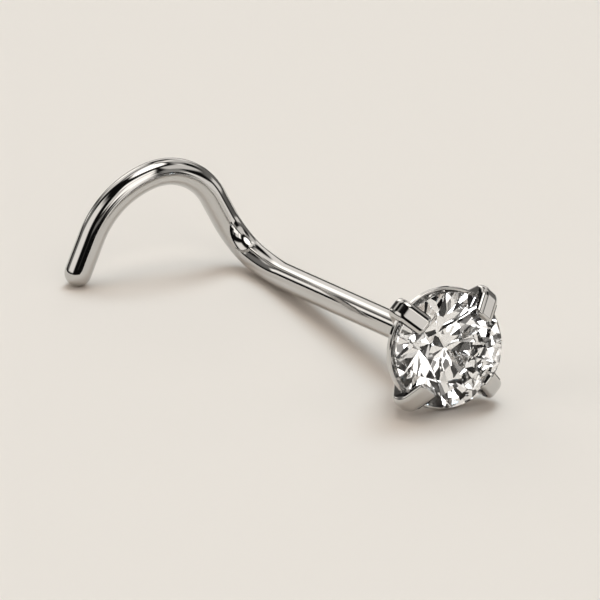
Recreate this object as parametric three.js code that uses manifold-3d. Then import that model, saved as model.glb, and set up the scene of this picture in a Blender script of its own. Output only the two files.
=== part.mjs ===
// Nose screw stud: one bent wire with a four-prong head soldered to its end,
// and a round brilliant stone held in that head. Millimetres, +Z up.
//
// The stud lies as it comes to rest by itself on a flat surface: on the head,
// on the bend behind the post and on the rounded end of the hook. The post
// runs along X with the head at +X, and the origin is on the surface, under
// the middle of the stud.

import * as THREE from "three";
import { mergeVertices, mergeGeometries } from "three/addons/utils/BufferGeometryUtils.js";
import { ConvexHull } from "three/addons/math/ConvexHull.js";
import Module from "manifold-3d";

const wasm = await Module();
wasm.setup();

const deg = THREE.MathUtils.degToRad;

// Wire

const wireDiameter = 0.6;
const postLength = 8.2; // back of the head to the corner of the bend
const bendEntryRadius = 4.05; // the post starts to turn gently
const bendEntrySweep = 18.6;
const bendRadius = 1; // centre line of the tight rest of the bend, up into the hook
const hookYaw = 95.8; // plan angle from the post's forward direction to the hook
const hookLean = 6; // the hook's plane leans this far away from the head
const riserAngle = 63.9; // the hook leaves the surface at this slope
const riserLength = 0.58; // straight part between the bend and the arch
const archRadius = 1.21; // tight first part of the arch
const archSweep = 79.9;
const crownArcRadius = 2.22; // wider second part of the arch
const crownArcSweep = 49.3;
const tailLength = 0.84; // straight end, closed by a half ball

// Stone (round brilliant, girdle plane at height 0, table toward +)

const stoneDiameter = 2.5;
const girdleThickness = 0.08;
const tableWidth = 1.42; // across opposite corners
const crownAngle = 34.5;
const starLength = 0.3; // table edge to the tip of a star facet, in plan
const pavilionAngle = 40.8;
const lowerTipRadius = 0.3; // where the lower girdle facets meet, from the axis

// Head

const prongCount = 4;
const prongWidth = 0.46;
const prongChamfer = 0.09; // sloped side faces of a prong, across its width
const prongChamferDrop = 0.06; // and how far they cut back its outline
const prongStand = 0.33; // outer side of a prong beyond the girdle
const tabThickness = 0.17; // folded end of a prong
const tabReach = 0.36; // how far a folded end covers the crown, in plan
const shoulderRadius = 0.22;
const prongRun = 0.3; // straight stretch of a prong's outer side behind the girdle
const seatDepth = 0.13; // ledge under the girdle, in plan
const seatClearance = 0.02; // between stone and metal
const footThickness = 0.28; // prong where it grows out of the base
const headDepth = 1.6; // girdle plane to the flat back of the base
const baseRadius = 0.58;
const baseThickness = 0.22;
const baseEdge = 0.05; // chamfer of the base
const railRadius = 1.33; // outside of the gallery rail
const railWidth = 0.15;
const railHeight = 0.16;
const railDrop = 0.14; // girdle plane to the front of the rail

// Fineness of the faceted surfaces

const wireSides = 20;
const wireStep = 0.16; // length of one step along the wire
const girdleSides = 64;
const ringSides = 48;

const wireRadius = wireDiameter / 2;
const stoneRadius = stoneDiameter / 2;
const tableRadius = tableWidth / 2;
const halfGirdle = girdleThickness / 2;

// Solids

// A closed solid from a three.js geometry, placed by an optional matrix.
function solid(geometry, matrix) {
  const g = geometry.clone();
  if (matrix) g.applyMatrix4(matrix);
  g.deleteAttribute("normal");
  g.deleteAttribute("uv");
  const merged = mergeVertices(g, 1e-5);
  return new wasm.Manifold(
    new wasm.Mesh({
      numProp: 3,
      vertProperties: new Float32Array(merged.attributes.position.array),
      triVerts: new Uint32Array(merged.index.array),
    })
  );
}

// The triangles of a solid as a flat-shaded geometry.
function toGeometry(body) {
  const mesh = body.getMesh();
  const g = new THREE.BufferGeometry();
  g.setAttribute("position", new THREE.BufferAttribute(new Float32Array(mesh.vertProperties), 3));
  g.setIndex(new THREE.BufferAttribute(new Uint32Array(mesh.triVerts), 1));
  const flat = g.toNonIndexed();
  flat.computeVertexNormals();
  return flat;
}

// Wire path

class Arc extends THREE.Curve {
  // Starts at `start` heading along `heading` and turns toward `toward`.
  constructor(start, heading, toward, radius, angle) {
    super();
    this.start = start.clone();
    this.side = toward.clone().addScaledVector(heading, -toward.dot(heading)).normalize();
    this.heading = heading.clone().normalize();
    this.radius = radius;
    this.angle = angle;
  }
  getPoint(t, target = new THREE.Vector3()) {
    const a = this.angle * t;
    return target
      .copy(this.start)
      .addScaledVector(this.heading, this.radius * Math.sin(a))
      .addScaledVector(this.side, this.radius * (1 - Math.cos(a)));
  }
  exitHeading() {
    return this.heading
      .clone()
      .multiplyScalar(Math.cos(this.angle))
      .addScaledVector(this.side, Math.sin(this.angle));
  }
}

// The corner of the bend is at the origin. The post rises from there to the head.
const bendCornerHeight = wireRadius / 2;
const postSlope = Math.asin((stoneRadius - bendCornerHeight) / (postLength + headDepth));
const forward = new THREE.Vector3(Math.cos(postSlope), 0, Math.sin(postSlope));
const up = new THREE.Vector3(0, 0, 1);
const hookOut = new THREE.Vector3(Math.cos(deg(-hookYaw)), Math.sin(deg(-hookYaw)), 0);
const hookUp = up.clone().applyAxisAngle(hookOut, deg(hookLean));
const riser = hookOut
  .clone()
  .multiplyScalar(Math.cos(deg(riserAngle)))
  .addScaledVector(hookUp, Math.sin(deg(riserAngle)));

const girdleCentre = forward.clone().multiplyScalar(postLength + headDepth);

function wirePath() {
  const path = new THREE.CurvePath();
  const backward = forward.clone().negate();
  const bendAngle = backward.angleTo(riser);
  const entryAngle = deg(bendEntrySweep);
  // How far both arcs together run back along the post, and how far they leave its line.
  const alongPost = (bendEntryRadius - bendRadius) * Math.sin(entryAngle) + bendRadius * Math.sin(bendAngle);
  const offPost =
    bendEntryRadius * (1 - Math.cos(entryAngle)) + bendRadius * (Math.cos(entryAngle) - Math.cos(bendAngle));
  const bendTangent = alongPost - offPost / Math.tan(bendAngle);
  const root = forward.clone().multiplyScalar(postLength + baseThickness / 2);
  const bendStart = forward.clone().multiplyScalar(bendTangent);
  path.add(new THREE.LineCurve3(root, bendStart));

  const entry = new Arc(bendStart, backward, riser, bendEntryRadius, entryAngle);
  path.add(entry);
  const bend = new Arc(entry.getPoint(1), entry.exitHeading(), riser, bendRadius, bendAngle - entryAngle);
  path.add(bend);
  let at = bend.getPoint(1);
  const archStart = at.clone().addScaledVector(riser, riserLength);
  path.add(new THREE.LineCurve3(at, archStart));

  const arch = new Arc(archStart, riser, hookOut, archRadius, deg(archSweep));
  path.add(arch);
  at = arch.getPoint(1);
  const heading = arch.exitHeading();
  const inward = hookUp.clone().negate();
  const crownArc = new Arc(at, heading, inward, crownArcRadius, deg(crownArcSweep));
  path.add(crownArc);
  at = crownArc.getPoint(1);
  const tail = at.clone().addScaledVector(crownArc.exitHeading(), tailLength);
  path.add(new THREE.LineCurve3(at, tail));
  return path;
}

// A regular outline with one corner on +x, so that the end ball can meet it corner to corner.
function wireSection() {
  const points = [];
  for (let i = 0; i < wireSides; i++) {
    const a = (i / wireSides) * 2 * Math.PI;
    points.push(new THREE.Vector2(wireRadius * Math.cos(a), wireRadius * Math.sin(a)));
  }
  return new THREE.Shape(points);
}

function wire() {
  const path = wirePath();
  const steps = Math.ceil(path.getLength() / wireStep);
  const tube = new THREE.ExtrudeGeometry(wireSection(), { steps, extrudePath: path });
  const frames = path.computeFrenetFrames(steps, false);
  const turn = new THREE.Matrix4().makeBasis(
    frames.normals[steps],
    frames.tangents[steps],
    frames.normals[steps].clone().cross(frames.tangents[steps])
  );
  turn.setPosition(path.getPoint(1));
  const ball = new THREE.SphereGeometry(wireRadius, wireSides, wireSides / 2);
  return solid(tube).add(solid(ball, turn));
}

// Stone

const onStone = (azimuth, radius, height) =>
  new THREE.Vector3(radius * Math.cos(deg(azimuth)), radius * Math.sin(deg(azimuth)), height);

// Grinds one flat facet: everything beyond the plane through a, b and c goes.
function grind(stone, a, b, c) {
  const plane = new THREE.Plane().setFromCoplanarPoints(a, b, c);
  if (plane.distanceToPoint(new THREE.Vector3()) > 0) plane.negate();
  const size = 3 * stoneDiameter;
  const wheel = new THREE.BoxGeometry(size, size, size);
  const turn = new THREE.Quaternion().setFromUnitVectors(up, plane.normal);
  const centre = plane.normal.clone().multiplyScalar(-plane.constant + size / 2);
  const place = new THREE.Matrix4().compose(centre, turn, new THREE.Vector3(1, 1, 1));
  return stone.subtract(solid(wheel, place));
}

// Height of a main facet's plane above the girdle plane; `off` is the angle from its middle.
const crownHeightAt = (radius, off) =>
  halfGirdle + (stoneRadius - radius * Math.cos(deg(off))) * Math.tan(deg(crownAngle));
const pavilionHeightAt = (radius, off) =>
  -halfGirdle - (stoneRadius - radius * Math.cos(deg(off))) * Math.tan(deg(pavilionAngle));

function brilliant() {
  const tableHeight = crownHeightAt(tableRadius, 0);
  const starRadius = tableRadius * Math.cos(deg(22.5)) + starLength;
  let stone = solid(
    new THREE.CylinderGeometry(stoneRadius, stoneRadius, 3 * stoneDiameter, girdleSides),
    new THREE.Matrix4().makeRotationX(Math.PI / 2)
  );
  const table = [0, 120, 240].map((a) => onStone(a, tableRadius, tableHeight));
  stone = grind(stone, ...table);

  for (let main = 0; main < 360; main += 45) {
    const next = main + 45;
    const middle = main + 22.5;
    // Crown main and pavilion main, each leaning on the girdle at its own azimuth.
    for (const heightAt of [crownHeightAt, pavilionHeightAt]) {
      stone = grind(
        stone,
        onStone(main, stoneRadius, heightAt(stoneRadius, 0)),
        onStone(main, tableRadius, heightAt(tableRadius, 0)),
        onStone(middle, tableRadius, heightAt(tableRadius, 22.5))
      );
    }
    // Star facet: table edge to the point where two crown mains meet.
    const starTip = onStone(middle, starRadius, crownHeightAt(starRadius, 22.5));
    stone = grind(
      stone,
      onStone(main, tableRadius, tableHeight),
      onStone(next, tableRadius, tableHeight),
      starTip
    );
    // Two upper and two lower girdle facets between neighbouring mains.
    const lowerTip = onStone(middle, lowerTipRadius, pavilionHeightAt(lowerTipRadius, 22.5));
    for (const corner of [main, next]) {
      for (const [side, tip] of [[1, starTip], [-1, lowerTip]]) {
        stone = grind(
          stone,
          onStone(corner, stoneRadius, side * halfGirdle),
          onStone(middle, stoneRadius, side * halfGirdle),
          tip
        );
      }
    }
  }
  return stone;
}

// Head (axis along its own +Z, girdle plane at z = 0)

// One prong seen from its side: x is the distance from the axis, y the height.
function prongOutline() {
  const crown = Math.tan(deg(crownAngle));
  const crownSin = Math.sin(deg(crownAngle));
  const crownCos = Math.cos(deg(crownAngle));
  const pavilion = Math.tan(deg(pavilionAngle));
  const outer = stoneRadius + prongStand;
  const inner = stoneRadius + seatClearance;
  const under = (x) => halfGirdle + (stoneRadius - x) * crown + seatClearance / crownCos;
  const over = (x) => under(x) + tabThickness / crownCos;
  const ledge = (x) =>
    -halfGirdle - (stoneRadius - x) * pavilion - seatClearance / Math.cos(deg(pavilionAngle));
  const tip = stoneRadius - tabReach;
  const tipTop = [tip + tabThickness * crownSin, under(tip) + tabThickness * crownCos];
  const seat = stoneRadius - seatDepth;

  const s = new THREE.Shape();
  s.moveTo(baseRadius - baseEdge, -headDepth + baseEdge);
  s.lineTo(outer, -prongRun);
  s.lineTo(outer, over(outer) - shoulderRadius);
  const onTop = outer - shoulderRadius * crownCos;
  s.quadraticCurveTo(outer, over(outer), onTop, over(onTop));
  s.lineTo(...tipTop);
  s.lineTo(tip, under(tip));
  s.lineTo(inner, under(inner));
  s.lineTo(inner, ledge(inner));
  s.lineTo(seat, ledge(seat));
  s.lineTo(baseRadius - baseEdge - footThickness, -headDepth + baseEdge);
  s.closePath();
  return s;
}

function prong(azimuth) {
  const blade = new THREE.ExtrudeGeometry(prongOutline(), {
    depth: prongWidth - 2 * prongChamfer,
    bevelThickness: prongChamfer,
    bevelSize: prongChamferDrop,
    bevelOffset: -prongChamferDrop,
    bevelSegments: 1,
    curveSegments: 6,
  });
  blade.translate(0, 0, prongChamfer - prongWidth / 2);
  blade.rotateX(Math.PI / 2);
  blade.rotateZ(deg(azimuth));
  return solid(blade);
}

// A turned ring or disc about +Z from an outline of [radius, height] pairs.
function turned(outline) {
  const points = outline.map(([r, h]) => new THREE.Vector2(r, h));
  const ring = new THREE.LatheGeometry(points, ringSides);
  ring.rotateX(Math.PI / 2);
  return solid(ring);
}

function head() {
  const back = -headDepth;
  const front = -headDepth + baseThickness;
  let body = turned([
    [0, back],
    [baseRadius - baseEdge, back],
    [baseRadius, back + baseEdge],
    [baseRadius, front - baseEdge],
    [baseRadius - baseEdge, front],
    [0, front],
  ]);
  const railTop = -railDrop;
  const railBottom = railTop - railHeight;
  body = body.add(
    turned([
      [railRadius, railTop],
      [railRadius - railWidth, railTop],
      [railRadius - railWidth, railBottom],
      [railRadius, railBottom],
      [railRadius, railTop],
    ])
  );
  for (let i = 0; i < prongCount; i++) body = body.add(prong(45 + (i * 360) / prongCount));
  return body;
}

// Assembly

// Head frame: +Z along the post, +X straight down, so that two prongs point down and outward.
const headPlace = new THREE.Matrix4().makeBasis(
  new THREE.Vector3(forward.z, 0, -forward.x),
  new THREE.Vector3(0, 1, 0),
  forward
);
headPlace.setPosition(girdleCentre);

const metal = toGeometry(solid(toGeometry(head()), headPlace).add(wire()));
const gem = toGeometry(brilliant()).applyMatrix4(headPlace);

const whiteMetal = new THREE.MeshStandardMaterial({ color: 0xc9c8c6, metalness: 1, roughness: 0.12 });
const clearStone = new THREE.MeshStandardMaterial({ color: 0xf4f6f8, metalness: 0, roughness: 0.03 });

const metalMesh = new THREE.Mesh(metal, whiteMetal);
metalMesh.name = "wire_and_setting";
const stoneMesh = new THREE.Mesh(gem, clearStone);
stoneMesh.name = "stone";

// How it lies

const steelDensity = 7.9; // mg per cubic millimetre
const stoneDensity = 5.8;

// Volume times density, and the same times the centre, of a closed surface.
function massOf(geometry, density) {
  const p = geometry.attributes.position;
  const [a, b, c] = [new THREE.Vector3(), new THREE.Vector3(), new THREE.Vector3()];
  const moment = new THREE.Vector3();
  let mass = 0;
  for (let i = 0; i < p.count; i += 3) {
    a.fromBufferAttribute(p, i);
    b.fromBufferAttribute(p, i + 1);
    c.fromBufferAttribute(p, i + 2);
    const m = (density * a.dot(b.clone().cross(c))) / 6;
    mass += m;
    moment.addScaledVector(a.clone().add(b).add(c), m / 4);
  }
  return { mass, moment };
}

// The turn that lays the stud on the side of its convex hull that is under its
// centre of mass and is nearest to the way it is modelled.
function restingTurn(geometries, centre) {
  const all = mergeGeometries(geometries.map((g) => {
    const copy = new THREE.BufferGeometry();
    copy.setAttribute("position", g.attributes.position);
    return copy;
  }));
  const points = [];
  for (let i = 0; i < all.attributes.position.count; i++)
    points.push(new THREE.Vector3().fromBufferAttribute(all.attributes.position, i));
  const hull = new ConvexHull().setFromPoints(points);
  const down = up.clone().negate();
  let best = null;
  for (const face of hull.faces) {
    const foot = centre.clone().addScaledVector(face.normal, face.constant - face.normal.dot(centre));
    let inside = true;
    let edge = face.edge;
    do {
      const tail = edge.tail().point;
      const side = edge.head().point.clone().sub(tail).cross(foot.clone().sub(tail));
      if (side.dot(face.normal) < 0) inside = false;
      edge = edge.next;
    } while (edge !== face.edge);
    if (inside && (!best || face.normal.dot(down) > best.dot(down))) best = face.normal;
  }
  return new THREE.Quaternion().setFromUnitVectors(best, down);
}

const metalMass = massOf(metal, steelDensity);
const stoneMass = massOf(gem, stoneDensity);
const centreOfMass = metalMass.moment
  .clone()
  .add(stoneMass.moment)
  .divideScalar(metalMass.mass + stoneMass.mass);

const stud = new THREE.Group();
stud.add(metalMesh, stoneMesh);
stud.quaternion.copy(restingTurn([metal, gem], centreOfMass));
stud.updateMatrixWorld(true);
const box = new THREE.Box3().setFromObject(stud, true);
stud.position.set(-(box.min.x + box.max.x) / 2, -(box.min.y + box.max.y) / 2, -box.min.z);

const part = new THREE.Group();
part.add(stud);
part.updateMatrixWorld(true);

export default part;
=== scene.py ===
"""Nose screw stud lying on a pale surface: polished wire, four-prong head, round stone."""
import math

import bmesh
import bpy
from mathutils import Matrix, Quaternion, Vector


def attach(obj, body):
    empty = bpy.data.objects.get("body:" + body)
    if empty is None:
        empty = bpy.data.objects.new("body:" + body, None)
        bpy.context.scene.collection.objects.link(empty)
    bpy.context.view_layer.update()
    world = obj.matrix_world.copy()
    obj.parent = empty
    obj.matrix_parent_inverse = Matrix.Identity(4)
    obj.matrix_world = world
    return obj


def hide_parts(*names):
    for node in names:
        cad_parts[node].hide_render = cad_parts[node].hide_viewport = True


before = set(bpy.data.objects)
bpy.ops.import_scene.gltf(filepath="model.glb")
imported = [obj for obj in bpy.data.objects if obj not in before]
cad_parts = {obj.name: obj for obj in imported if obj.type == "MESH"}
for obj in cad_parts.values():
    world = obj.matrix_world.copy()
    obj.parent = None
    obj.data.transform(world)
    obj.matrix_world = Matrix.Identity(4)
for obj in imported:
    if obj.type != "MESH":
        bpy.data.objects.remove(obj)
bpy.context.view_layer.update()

MM = 0.001

# Sizes of the stud, the same as those of its solids: lengths in millimetres, sweeps and the
# hook's angles in degrees.
WIRE_R = 0.3
POST_LENGTH = 8.2  # back of the head to the corner of the bend
BEND_CORNER_HEIGHT = WIRE_R / 2
BEND_ENTRY_R = 4.05  # the post starts to turn gently
BEND_ENTRY_SWEEP = 18.6
BEND_R = 1.0  # tight rest of the bend, up into the hook
HOOK_YAW = 95.8  # plan angle from the post's forward direction to the hook
HOOK_LEAN = 6.0  # the hook's plane leans this far away from the head
RISER_ANGLE = 63.9  # slope at which the hook leaves the surface
RISER_LENGTH = 0.58
ARCH_R = 1.21  # tight first part of the arch
ARCH_SWEEP = 79.9
CROWN_ARC_R = 2.22  # wider second part of the arch
CROWN_ARC_SWEEP = 49.3
TAIL_LENGTH = 0.84  # straight end, closed by a half ball

STONE_R = 1.25
HALF_GIRDLE = 0.04
CROWN_ANGLE = math.radians(34.5)
PAVILION_ANGLE = math.radians(40.8)

PRONG_WIDTH = 0.46
PRONG_CHAMFER = 0.09  # sloped side faces of a prong, across its width
PRONG_CHAMFER_DROP = 0.06  # and how far they cut back its outline
PRONG_STAND = 0.33  # outer side of a prong beyond the girdle
TAB_THICKNESS = 0.17  # folded end of a prong
TAB_REACH = 0.36  # how far a folded end covers the crown, in plan
SHOULDER_R = 0.22
PRONG_RUN = 0.3  # straight stretch of a prong's outer side behind the girdle
SEAT_DEPTH = 0.13  # ledge under the girdle, in plan
SEAT_CLEARANCE = 0.02  # between stone and metal
FOOT_THICKNESS = 0.28  # prong where it grows out of the base
HEAD_DEPTH = 1.6  # girdle plane to the flat back of the base
BASE_R = 0.58
BASE_THICKNESS = 0.22
BASE_EDGE = 0.05  # chamfer of the base
RAIL_R = 1.33  # outside of the gallery rail
RAIL_WIDTH = 0.15
RAIL_HEIGHT = 0.16
RAIL_DROP = 0.14  # girdle plane to the front of the rail

# Rounded edges, only in this model.
BASE_ROUNDING = 0.015
RAIL_ROUNDING = 0.035
PRONG_ROUNDING = 0.05

# Edges sharper than this many degrees stay sharp in the shading.
WIRE_SMOOTH_ANGLE = 60
HEAD_SMOOTH_ANGLE = 25

# Fineness of the curves: steps along the wire and the prong's shoulder, and sides round an axis.
ARC_STEP = 0.05
POST_STEP = 0.4
HOOK_STEP = 0.1
WIRE_SIDES = 48
CAP_RINGS = 10
SHOULDER_STEPS = 14
TURNED_SIDES = 96
MITRE_LIMIT = 0.2  # keeps the sharpest corners of a shrunk outline from shooting out

# How the stud lies: the turn and the shift from the drawing to the resting place.
REST_TURN = Quaternion((0.9999557481, -0.0034470124, -0.0087532853, 0.0))
REST_SHIFT = Vector((-4.729016965, 1.430654243, 0.087355999))

# The camera's view of the stud, and where in the square picture the girdle's centre falls.
CAMERA_AZIMUTH = -26.16
CAMERA_ELEVATION = 20.98
CAMERA_DISTANCE = 260.0
SENSOR_WIDTH = 36.0
PICTURE_SIZE = 600
PIXELS_PER_MM = 47.22
GIRDLE_PIXEL = (448.6, 349.9)

# The key light: azimuth from the camera's side, elevation, apparent size, strength and colour.
KEY_AZIMUTH = 160.0
KEY_ELEVATION = 64.0
KEY_SPREAD = 30.0
KEY_STRENGTH = 0.94
KEY_COLOUR = (0.78, 1.0, 1.15)

# The floor's half size, and the light that comes from everywhere besides the soft boxes.
FLOOR_HALF = 400.0
WORLD_COLOUR = (1.0, 0.955, 0.90, 1)
WORLD_BASE = 0.006


# Wire path

# The corner of the bend is the drawing's origin, and the post rises from there to the head.
POST_SLOPE = math.asin((STONE_R - BEND_CORNER_HEIGHT) / (POST_LENGTH + HEAD_DEPTH))
FORWARD = Vector((math.cos(POST_SLOPE), 0, math.sin(POST_SLOPE)))
HOOK_OUT = Vector((math.cos(math.radians(-HOOK_YAW)), math.sin(math.radians(-HOOK_YAW)), 0))
HOOK_UP = Matrix.Rotation(math.radians(HOOK_LEAN), 3, HOOK_OUT) @ Vector((0, 0, 1))
RISER = HOOK_OUT * math.cos(math.radians(RISER_ANGLE)) + HOOK_UP * math.sin(math.radians(RISER_ANGLE))


def arc(start, heading, toward, radius, angle):
    """Points of an arc that turns toward a direction, and the heading at its end."""
    side = (toward - heading * toward.dot(heading)).normalized()
    count = max(2, math.ceil(radius * angle / ARC_STEP))
    points = []
    for i in range(1, count + 1):
        a = angle * i / count
        points.append(start + heading * radius * math.sin(a) + side * radius * (1 - math.cos(a)))
    return points, heading * math.cos(angle) + side * math.sin(angle)


def line(start, end, step):
    """Points of a straight stretch, without its start."""
    count = max(1, math.ceil((end - start).length / step))
    return [start.lerp(end, i / count) for i in range(1, count + 1)]


def wire_points():
    """The wire's centre line, from inside the head's base to the middle of the end ball."""
    backward = -FORWARD
    bend_angle = backward.angle(RISER)
    entry_angle = math.radians(BEND_ENTRY_SWEEP)
    along_post = (BEND_ENTRY_R - BEND_R) * math.sin(entry_angle) + BEND_R * math.sin(bend_angle)
    off_post = BEND_ENTRY_R * (1 - math.cos(entry_angle))
    off_post += BEND_R * (math.cos(entry_angle) - math.cos(bend_angle))
    root = FORWARD * (POST_LENGTH + BASE_THICKNESS / 2)
    bend_start = FORWARD * (along_post - off_post / math.tan(bend_angle))
    points = [root] + line(root, bend_start, POST_STEP)
    more, heading = arc(bend_start, backward, RISER, BEND_ENTRY_R, entry_angle)
    points += more
    more, _ = arc(points[-1], heading, RISER, BEND_R, bend_angle - entry_angle)
    points += more
    points += line(points[-1], points[-1] + RISER * RISER_LENGTH, HOOK_STEP)
    more, heading = arc(points[-1], RISER, HOOK_OUT, ARCH_R, math.radians(ARCH_SWEEP))
    points += more
    more, heading = arc(points[-1], heading, -HOOK_UP, CROWN_ARC_R, math.radians(CROWN_ARC_SWEEP))
    points += more
    points += line(points[-1], points[-1] + heading * TAIL_LENGTH, HOOK_STEP)
    return points


def full_circle(sides):
    """The angles of a regular outline's corners."""
    return [k / sides * 2 * math.pi for k in range(sides)]


def add_wire(bm):
    """Sweeps the round section along the centre line and closes the end with a half ball."""
    points = wire_points()
    tangents = []
    for i in range(len(points)):
        before = points[max(i - 1, 0)]
        after = points[min(i + 1, len(points) - 1)]
        tangents.append((after - before).normalized())
    normal = tangents[0].orthogonal().normalized()
    rings = []
    for i, (p, t) in enumerate(zip(points, tangents)):
        if i:
            normal = (normal - t * normal.dot(t)).normalized()
        rings.append((p, t, normal.copy(), WIRE_R))
    p, t, n, _ = rings[-1]
    for k in range(1, CAP_RINGS):
        a = k / CAP_RINGS * math.pi / 2
        rings.append((p + t * WIRE_R * math.sin(a), t, n, WIRE_R * math.cos(a)))
    loops = []
    for p, t, n, radius in rings:
        b = t.cross(n)
        around = [n * math.cos(a) + b * math.sin(a) for a in full_circle(WIRE_SIDES)]
        loops.append([bm.verts.new(p + out * radius) for out in around])
    for lo, hi in zip(loops, loops[1:]):
        for k in range(WIRE_SIDES):
            j = (k + 1) % WIRE_SIDES
            bm.faces.new((lo[k], lo[j], hi[j], hi[k]))
    tip = bm.verts.new(points[-1] + tangents[-1] * WIRE_R)
    last = loops[-1]
    for k in range(WIRE_SIDES):
        bm.faces.new((last[k], last[(k + 1) % WIRE_SIDES], tip))
    bm.faces.new(list(reversed(loops[0])))


# Head, drawn with its axis along +Z and the girdle plane at height 0

def prong_outline():
    """A prong seen from its side: [distance from the axis, height] pairs, from its foot round the crown."""
    outer = STONE_R + PRONG_STAND
    inner = STONE_R + SEAT_CLEARANCE

    def under(x):
        clearance = SEAT_CLEARANCE / math.cos(CROWN_ANGLE)
        return HALF_GIRDLE + (STONE_R - x) * math.tan(CROWN_ANGLE) + clearance

    def over(x):
        return under(x) + TAB_THICKNESS / math.cos(CROWN_ANGLE)

    def ledge(x):
        clearance = SEAT_CLEARANCE / math.cos(PAVILION_ANGLE)
        return -HALF_GIRDLE - (STONE_R - x) * math.tan(PAVILION_ANGLE) - clearance

    tip = STONE_R - TAB_REACH
    seat = STONE_R - SEAT_DEPTH
    points = [(BASE_R - BASE_EDGE, -HEAD_DEPTH + BASE_EDGE), (outer, -PRONG_RUN)]
    a = Vector((outer, over(outer) - SHOULDER_R))
    b = Vector((outer, over(outer)))
    on_top = outer - SHOULDER_R * math.cos(CROWN_ANGLE)
    c = Vector((on_top, over(on_top)))
    for i in range(SHOULDER_STEPS + 1):
        t = i / SHOULDER_STEPS
        points.append(tuple(a * (1 - t) ** 2 + b * 2 * t * (1 - t) + c * t * t))
    off_crown = Vector((math.sin(CROWN_ANGLE), math.cos(CROWN_ANGLE)))
    points.append(tuple(Vector((tip, under(tip))) + off_crown * TAB_THICKNESS))
    points.append((tip, under(tip)))
    points.append((inner, under(inner)))
    points.append((inner, ledge(inner)))
    points.append((seat, ledge(seat)))
    points.append((BASE_R - BASE_EDGE - FOOT_THICKNESS, -HEAD_DEPTH + BASE_EDGE))
    return points


def shrunk(outline, by):
    """The outline with every side moved inward by the same amount."""
    count = len(outline)
    area = sum(outline[i - 1][0] * outline[i][1] - outline[i][0] * outline[i - 1][1] for i in range(count))
    inward = 1 if area > 0 else -1
    result = []
    for i in range(count):
        a, b, c = (Vector(outline[j % count]) for j in (i - 1, i, i + 1))
        u, v = (b - a).normalized(), (c - b).normalized()
        n, m = Vector((-u.y, u.x)) * inward, Vector((-v.y, v.x)) * inward
        middle = (n + m).normalized()
        result.append(tuple(b + middle * (by / max(middle.dot(n), MITRE_LIMIT))))
    return result


def add_prong(bm, azimuth):
    """A bar across the outline's plane, with sloped faces all round its two sides."""
    turn = Matrix.Rotation(math.radians(azimuth), 4, "Z")
    outline = prong_outline()
    inset = shrunk(outline, PRONG_CHAMFER_DROP)
    half = PRONG_WIDTH / 2
    flat = half - PRONG_CHAMFER
    sections = [(inset, half), (outline, flat), (outline, -flat), (inset, -half)]
    loops = [[bm.verts.new(turn @ Vector((x, side, y))) for x, y in points] for points, side in sections]
    count = len(outline)
    bm.faces.new(list(reversed(loops[0])))
    bm.faces.new(loops[-1])
    for left, right in zip(loops, loops[1:]):
        for i in range(count):
            j = (i + 1) % count
            bm.faces.new((left[i], left[j], right[j], right[i]))


def add_turned(bm, outline, closed=False):
    """A ring or disc about +Z from [radius, height] pairs; a radius of 0 gives a single point."""
    loops = []
    for radius, height in outline:
        around = full_circle(TURNED_SIDES) if radius else [0]
        loops.append([bm.verts.new((radius * math.cos(a), radius * math.sin(a), height)) for a in around])
    pairs = list(zip(loops, loops[1:]))
    if closed:
        pairs.append((loops[-1], loops[0]))
    for lo, hi in pairs:
        for k in range(TURNED_SIDES):
            j = (k + 1) % TURNED_SIDES
            ring = [lo[k % len(lo)], lo[j % len(lo)], hi[j % len(hi)], hi[k % len(hi)]]
            unique = []
            for v in ring:
                if v not in unique:
                    unique.append(v)
            if len(unique) > 2:
                bm.faces.new(unique)


def head_place():
    """Head drawing to the stud's drawing: +Z along the post, +X straight down."""
    columns = (Vector((FORWARD.z, 0, -FORWARD.x)), Vector((0, 1, 0)), FORWARD)
    m = Matrix([[c[r] for c in columns] for r in range(3)]).to_4x4()
    m.translation = FORWARD * (POST_LENGTH + HEAD_DEPTH)
    return m


REST = Matrix.Translation(REST_SHIFT) @ REST_TURN.to_matrix().to_4x4()
HEAD_REST = REST @ head_place()
GIRDLE_CENTRE = HEAD_REST.translation.copy()


def link_mesh(bm, name):
    """A new object in the scene from a finished drawing."""
    mesh = bpy.data.meshes.new(name)
    bm.to_mesh(mesh)
    bm.free()
    obj = bpy.data.objects.new(name, mesh)
    bpy.context.scene.collection.objects.link(obj)
    return obj


def finish_mesh(bm, name, place, smooth_angle):
    """Turns a drawing in millimetres into a placed object in metres."""
    bm.transform(Matrix.Scale(MM, 4) @ place)
    bmesh.ops.recalc_face_normals(bm, faces=bm.faces)
    obj = link_mesh(bm, name)
    for poly in obj.data.polygons:
        poly.use_smooth = True
    obj.data.set_sharp_from_angle(angle=math.radians(smooth_angle))
    return obj


def round_edges(obj, width, segments=3, angle=30.0):
    """Rounds every edge that is sharper than the angle."""
    m = obj.modifiers.new("edge", "BEVEL")
    m.width = width * MM
    m.segments = segments
    m.limit_method = "ANGLE"
    m.angle_limit = math.radians(angle)
    m.harden_normals = True
    m.use_clamp_overlap = False


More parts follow.
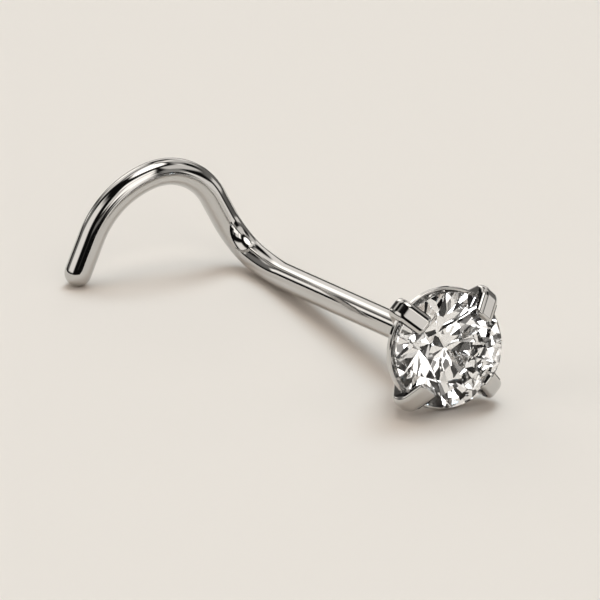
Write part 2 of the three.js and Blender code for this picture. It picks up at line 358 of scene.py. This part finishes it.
def make_metal():
    """The wire, and the head's base, rail and four prongs."""
    bm = bmesh.new()
    add_wire(bm)
    pieces = [finish_mesh(bm, "polished_wire", REST, WIRE_SMOOTH_ANGLE)]

    bm = bmesh.new()
    back = -HEAD_DEPTH
    front = back + BASE_THICKNESS
    face_r = BASE_R - BASE_EDGE
    add_turned(bm, [
        (0, back), (face_r, back), (BASE_R, back + BASE_EDGE),
        (BASE_R, front - BASE_EDGE), (face_r, front), (0, front),
    ])
    base = finish_mesh(bm, "head_base", HEAD_REST, HEAD_SMOOTH_ANGLE)
    round_edges(base, BASE_ROUNDING)
    pieces.append(base)

    bm = bmesh.new()
    top = -RAIL_DROP
    bottom = top - RAIL_HEIGHT
    inside = RAIL_R - RAIL_WIDTH
    add_turned(bm, [(RAIL_R, top), (inside, top), (inside, bottom), (RAIL_R, bottom)], closed=True)
    rail = finish_mesh(bm, "gallery_rail", HEAD_REST, HEAD_SMOOTH_ANGLE)
    round_edges(rail, RAIL_ROUNDING, segments=4)
    pieces.append(rail)

    for i in range(4):
        bm = bmesh.new()
        add_prong(bm, 45 + 90 * i)
        prong = finish_mesh(bm, f"prong_{i + 1}", HEAD_REST, HEAD_SMOOTH_ANGLE)
        round_edges(prong, PRONG_ROUNDING, segments=4, angle=20.0)
        pieces.append(prong)
    return pieces


# Materials

def new_material(name, shader_type):
    """A material with one shader, its shader node and its node tree's nodes and links."""
    m = bpy.data.materials.new(name)
    m.use_nodes = True
    nodes, links = m.node_tree.nodes, m.node_tree.links
    nodes.clear()
    out = nodes.new("ShaderNodeOutputMaterial")
    shader = nodes.new(shader_type)
    links.new(shader.outputs[0], out.inputs["Surface"])
    return m, shader, nodes, links


def object_noise(nodes, links, scale, detail):
    """Noise that is fixed to the object, as a socket."""
    coords = nodes.new("ShaderNodeTexCoord")
    noise = nodes.new("ShaderNodeTexNoise")
    noise.inputs["Scale"].default_value = scale
    noise.inputs["Detail"].default_value = detail
    links.new(coords.outputs["Object"], noise.inputs["Vector"])
    return noise.outputs["Fac"]


def vary(shader, nodes, links, noise, tones, roughness):
    """Lets a noise move the shader's tone between two colours and its roughness between two values."""
    tone = nodes.new("ShaderNodeValToRGB")
    for element, colour in zip(tone.color_ramp.elements, tones):
        element.color = (*colour, 1)
    links.new(noise, tone.inputs["Fac"])
    links.new(tone.outputs["Color"], shader.inputs["Base Color"])
    rough = nodes.new("ShaderNodeMapRange")
    rough.inputs["To Min"].default_value = roughness[0]
    rough.inputs["To Max"].default_value = roughness[1]
    links.new(noise, rough.inputs["Value"])
    links.new(rough.outputs["Result"], shader.inputs["Roughness"])


def steel_material():
    """Polished steel, with a fine variation of tone and polish and a very slight unevenness."""
    m, shader, nodes, links = new_material("polished_steel", "ShaderNodeBsdfPrincipled")
    shader.inputs["Metallic"].default_value = 1.0
    grain = object_noise(nodes, links, scale=900.0, detail=4.0)
    tones = ((0.565, 0.56, 0.55), (0.635, 0.63, 0.62))
    vary(shader, nodes, links, grain, tones, roughness=(0.035, 0.075))
    waves = object_noise(nodes, links, scale=1500.0, detail=1.5)
    bump = nodes.new("ShaderNodeBump")
    bump.inputs["Strength"].default_value = 0.15
    bump.inputs["Distance"].default_value = 0.012 * MM
    links.new(waves, bump.inputs["Height"])
    links.new(bump.outputs["Normal"], shader.inputs["Normal"])
    return m


def stone_material():
    """Clear cubic zirconia; its outer reflection is held back, so that the facets inside show."""
    m, shader, nodes, links = new_material("clear_stone", "ShaderNodeBsdfPrincipled")
    shader.inputs["Transmission Weight"].default_value = 1.0
    shader.inputs["IOR"].default_value = 2.17
    shader.inputs["Specular Tint"].default_value = (0.3, 0.3, 0.3, 1)
    haze = object_noise(nodes, links, scale=1800.0, detail=3.0)
    tones = ((0.975, 0.98, 0.99), (0.99, 0.995, 1.0))
    vary(shader, nodes, links, haze, tones, roughness=(0.0, 0.008))
    return m


def floor_material():
    m, shader, _, _ = new_material("pale_surface", "ShaderNodeBsdfPrincipled")
    shader.inputs["Base Color"].default_value = (0.89, 0.815, 0.745, 1)
    shader.inputs["Roughness"].default_value = 0.85
    shader.inputs["Specular IOR Level"].default_value = 0.2
    return m


# Studio

def direction(azimuth, elevation):
    """Unit vector toward a point of the surrounding sphere, in degrees."""
    a, e = math.radians(azimuth), math.radians(elevation)
    return Vector((math.cos(a) * math.cos(e), math.sin(a) * math.cos(e), math.sin(e)))


def soft_step(nodes, links, value, start, end, rising):
    """1 on one side and 0 on the other, with an S-shaped change between start and end."""
    step = nodes.new("ShaderNodeMapRange")
    step.interpolation_type = "SMOOTHSTEP"
    step.inputs["From Min"].default_value = start
    step.inputs["From Max"].default_value = end
    step.inputs["To Min"].default_value = 0.0 if rising else 1.0
    step.inputs["To Max"].default_value = 1.0 if rising else 0.0
    links.new(value, step.inputs["Value"])
    return step.outputs["Result"]


def maths(nodes, links, operation, *values):
    """One step of arithmetic on numbers and sockets."""
    node = nodes.new("ShaderNodeMath")
    node.operation = operation
    for socket, value in zip(node.inputs, values):
        if isinstance(value, (int, float)):
            socket.default_value = value
        else:
            links.new(value, socket)
    return node.outputs[0]


def soft_box(nodes, links, vector, azimuth, half_width, low, high, soft, strength):
    """Brightness of one soft box on the surrounding sphere; azimuth is counted from the camera's side."""
    turn = nodes.new("ShaderNodeVectorRotate")
    turn.rotation_type = "Z_AXIS"
    turn.inputs["Angle"].default_value = -math.radians(CAMERA_AZIMUTH + azimuth)
    links.new(vector, turn.inputs["Vector"])
    split = nodes.new("ShaderNodeSeparateXYZ")
    links.new(turn.outputs["Vector"], split.inputs["Vector"])
    x, y, z = (split.outputs[k] for k in "XYZ")
    off = maths(nodes, links, "ABSOLUTE", maths(nodes, links, "ARCTAN2", y, x))
    height = maths(nodes, links, "ARCSINE", z)
    half, lo, hi, edge = (math.radians(v) for v in (half_width, low, high, soft / 2))
    across = soft_step(nodes, links, off, half - edge, half + edge, False)
    above = soft_step(nodes, links, height, lo - edge, lo + edge, True)
    below = soft_step(nodes, links, height, hi - edge, hi + edge, False)
    mask = maths(nodes, links, "MULTIPLY", maths(nodes, links, "MULTIPLY", across, above), below)
    return maths(nodes, links, "MULTIPLY", mask, strength)


# Soft boxes round the stud: azimuth from the camera's side (right is plus), half width, lower edge,
# upper edge and softness in degrees, and brightness.
SOFT_BOXES = [
    (0, 180, 74, 106, 8, 2.85),     # overhead
    (-142, 32, 61, 76, 8, 1.2),     # its wing, behind on the left
    (-70, 25, 11, 47, 12, 1.15),    # left
    (8, 22, 46, 57, 8, 1.7),        # above the camera
    (17, 13, 22, 44, 6, 1.7),       # its lower part
    (-6, 8, 30, 44, 6, 1.0),        # the dimmer part beside that
    (27, 6, 9, 24, 5, 1.4),         # its lower corner
    (44, 8, 10, 32, 6, 0.35),       # faint, beside the corner
    (32, 3.5, -1, 9, 3, 1.0),       # narrow, under the corner
    (-2, 11, 15, 23, 5, 0.2),       # faint, in front
    (186, 28, 9, 31, 7, 1.0),       # behind
    (204, 6, 19, 27, 4, 0.8),       # its bright edge
    (-131, 6, 8, 15, 4, 1.25),      # narrow, behind on the left
    (-146, 6, 14, 23, 6, 0.45),     # fill between the two
    (-143, 20, 26, 52, 12, 1.0),    # high, behind on the left
    (152, 18, 30, 64, 12, 0.75),    # high, behind on the right
    (172, 16, 50, 68, 10, 0.8),     # high, behind
    (112, 22, 52, 66, 8, 0.4),      # high, far right
    (60, 15, -1, 15, 4, 1.0),       # low, right
    (104, 14, 8, 21, 5, 0.75),      # low, far right
    (72, 30, 34, 60, 8, 0.85),      # high, right
    (120, 34, 3, 34, 20, 0.2),      # faint, far right
    (-116, 18, 8, 30, 10, 0.2),     # faint, far left
]


def make_world():
    """The soft boxes, added up as a function of direction."""
    world = bpy.data.worlds.new("studio")
    bpy.context.scene.world = world
    world.use_nodes = True
    nodes, links = world.node_tree.nodes, world.node_tree.links
    background = nodes["Background"]
    coords = nodes.new("ShaderNodeTexCoord")
    total = WORLD_BASE
    for box in SOFT_BOXES:
        total = maths(nodes, links, "ADD", soft_box(nodes, links, coords.outputs["Generated"], *box), total)
    links.new(total, background.inputs["Strength"])
    background.inputs["Color"].default_value = WORLD_COLOUR


# Painted light in the stone: cards that only the light inside the stone meets. The glowing ones paint
# highlights into its facets and the black ones paint dark reflections. Each one has its azimuth from the
# camera's side, elevation, half width, half height (degrees) and brightness.
STONE_PAINTED_LIGHT_CARDS = [
    (-35, 24, 8, 12, 5.0),
    (-12, 52, 9, 6, 5.0),
    (26, 36, 7, 9, 5.0),
    (48, 20, 7, 8, 5.0),
    (-62, 40, 8, 8, 5.0),
    (5, 9, 16, 3, 4.0),
    (-18, 30, 7, 5, 0.0),
    (10, 20, 9, 4, 0.0),
]
CARD_DISTANCE = 40.0
CARD_CORNERS = ((-1, -1), (1, -1), (1, 1), (-1, 1))

# One more card, black, square to the post between the stone's point and the base: painted shade inside the
# head, seen only through the stone. Its half size, and its height in the head's drawing.
BACK_SHADE_CARD_HALF = 1.0
BACK_SHADE_CARD_HEIGHT = -1.25


def add_card(name, corners, strength):
    """A flat card that is seen only through the stone: glowing on both sides, which paints a highlight into
    the facets, or black, which paints shade there.
    """
    mesh = bpy.data.meshes.new(name)
    mesh.from_pydata([tuple(c * MM) for c in corners], [], [(0, 1, 2, 3)])
    m, glow, _, _ = new_material(name, "ShaderNodeEmission")
    glow.inputs["Strength"].default_value = strength
    mesh.materials.append(m)
    card = bpy.data.objects.new(name, mesh)
    bpy.context.scene.collection.objects.link(card)
    card.visible_camera = False
    card.visible_diffuse = False
    card.visible_glossy = False
    card.visible_shadow = False


def make_painted_light_cards():
    # Glowing cards paint highlights into the stone's facets; black ones paint dark reflections there.
    for i, (azimuth, elevation, half_width, half_height, strength) in enumerate(STONE_PAINTED_LIGHT_CARDS):
        corners = []
        for u, v in CARD_CORNERS:
            d = direction(CAMERA_AZIMUTH + azimuth + u * half_width, elevation + v * half_height)
            corners.append(GIRDLE_CENTRE + d * CARD_DISTANCE)
        add_card(f"stone_painted_light_card_{i + 1}", corners, strength)
    # The black back card paints shade inside the head, seen only through the stone.
    half = BACK_SHADE_CARD_HALF
    back = [HEAD_REST @ Vector((u * half, v * half, BACK_SHADE_CARD_HEIGHT)) for u, v in CARD_CORNERS]
    add_card("stone_painted_light_card_back", back, 0.0)


def make_studio():
    """The floor, the soft boxes, the stone's cards of painted highlights and shade, and the key light."""
    bm = bmesh.new()
    bmesh.ops.create_grid(bm, x_segments=1, y_segments=1, size=FLOOR_HALF * MM)
    floor = link_mesh(bm, "floor")
    floor.data.materials.append(floor_material())
    make_world()
    make_painted_light_cards()

    data = bpy.data.lights.new("key", "SUN")
    data.energy = KEY_STRENGTH
    data.angle = math.radians(KEY_SPREAD)
    data.color = KEY_COLOUR
    key = bpy.data.objects.new("key", data)
    bpy.context.scene.collection.objects.link(key)
    toward_key = direction(CAMERA_AZIMUTH + KEY_AZIMUTH, KEY_ELEVATION)
    key.rotation_euler = toward_key.to_track_quat("Z", "Y").to_euler()
    key.visible_glossy = False


def make_camera():
    """The camera, aimed so that the girdle's centre falls on its pixel at the stated scale."""
    data = bpy.data.cameras.new("camera")
    cam = bpy.data.objects.new("camera", data)
    bpy.context.scene.collection.objects.link(cam)
    d = direction(CAMERA_AZIMUTH, CAMERA_ELEVATION)
    right = Vector((0, 0, 1)).cross(d).normalized()
    up = d.cross(right)
    across, down = ((pixel - PICTURE_SIZE / 2) / PIXELS_PER_MM for pixel in GIRDLE_PIXEL)
    target = GIRDLE_CENTRE - right * across + up * down
    cam.location = (target + d * CAMERA_DISTANCE) * MM
    cam.rotation_euler = d.to_track_quat("Z", "Y").to_euler()
    data.sensor_width = SENSOR_WIDTH
    data.sensor_fit = "HORIZONTAL"
    data.lens = SENSOR_WIDTH * CAMERA_DISTANCE / (PICTURE_SIZE / PIXELS_PER_MM)
    data.clip_start = 0.01
    data.clip_end = 10
    bpy.context.scene.camera = cam


make_camera()
steel = steel_material()
for piece in make_metal():
    piece.data.materials.append(steel)
    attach(piece, "root")
    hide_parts("wire_and_setting")

# The stone keeps its solid, with flat facets.
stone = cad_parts["stone"]
clear = stone_material()
if not stone.material_slots:
    stone.data.materials.append(clear)
for slot in stone.material_slots:
    slot.material = clear
for poly in stone.data.polygons:
    poly.use_smooth = False

make_studio()

scene = bpy.context.scene
scene.view_settings.view_transform = "Standard"
scene.cycles.max_bounces = 24
scene.cycles.transmission_bounces = 20
scene.cycles.glossy_bounces = 8
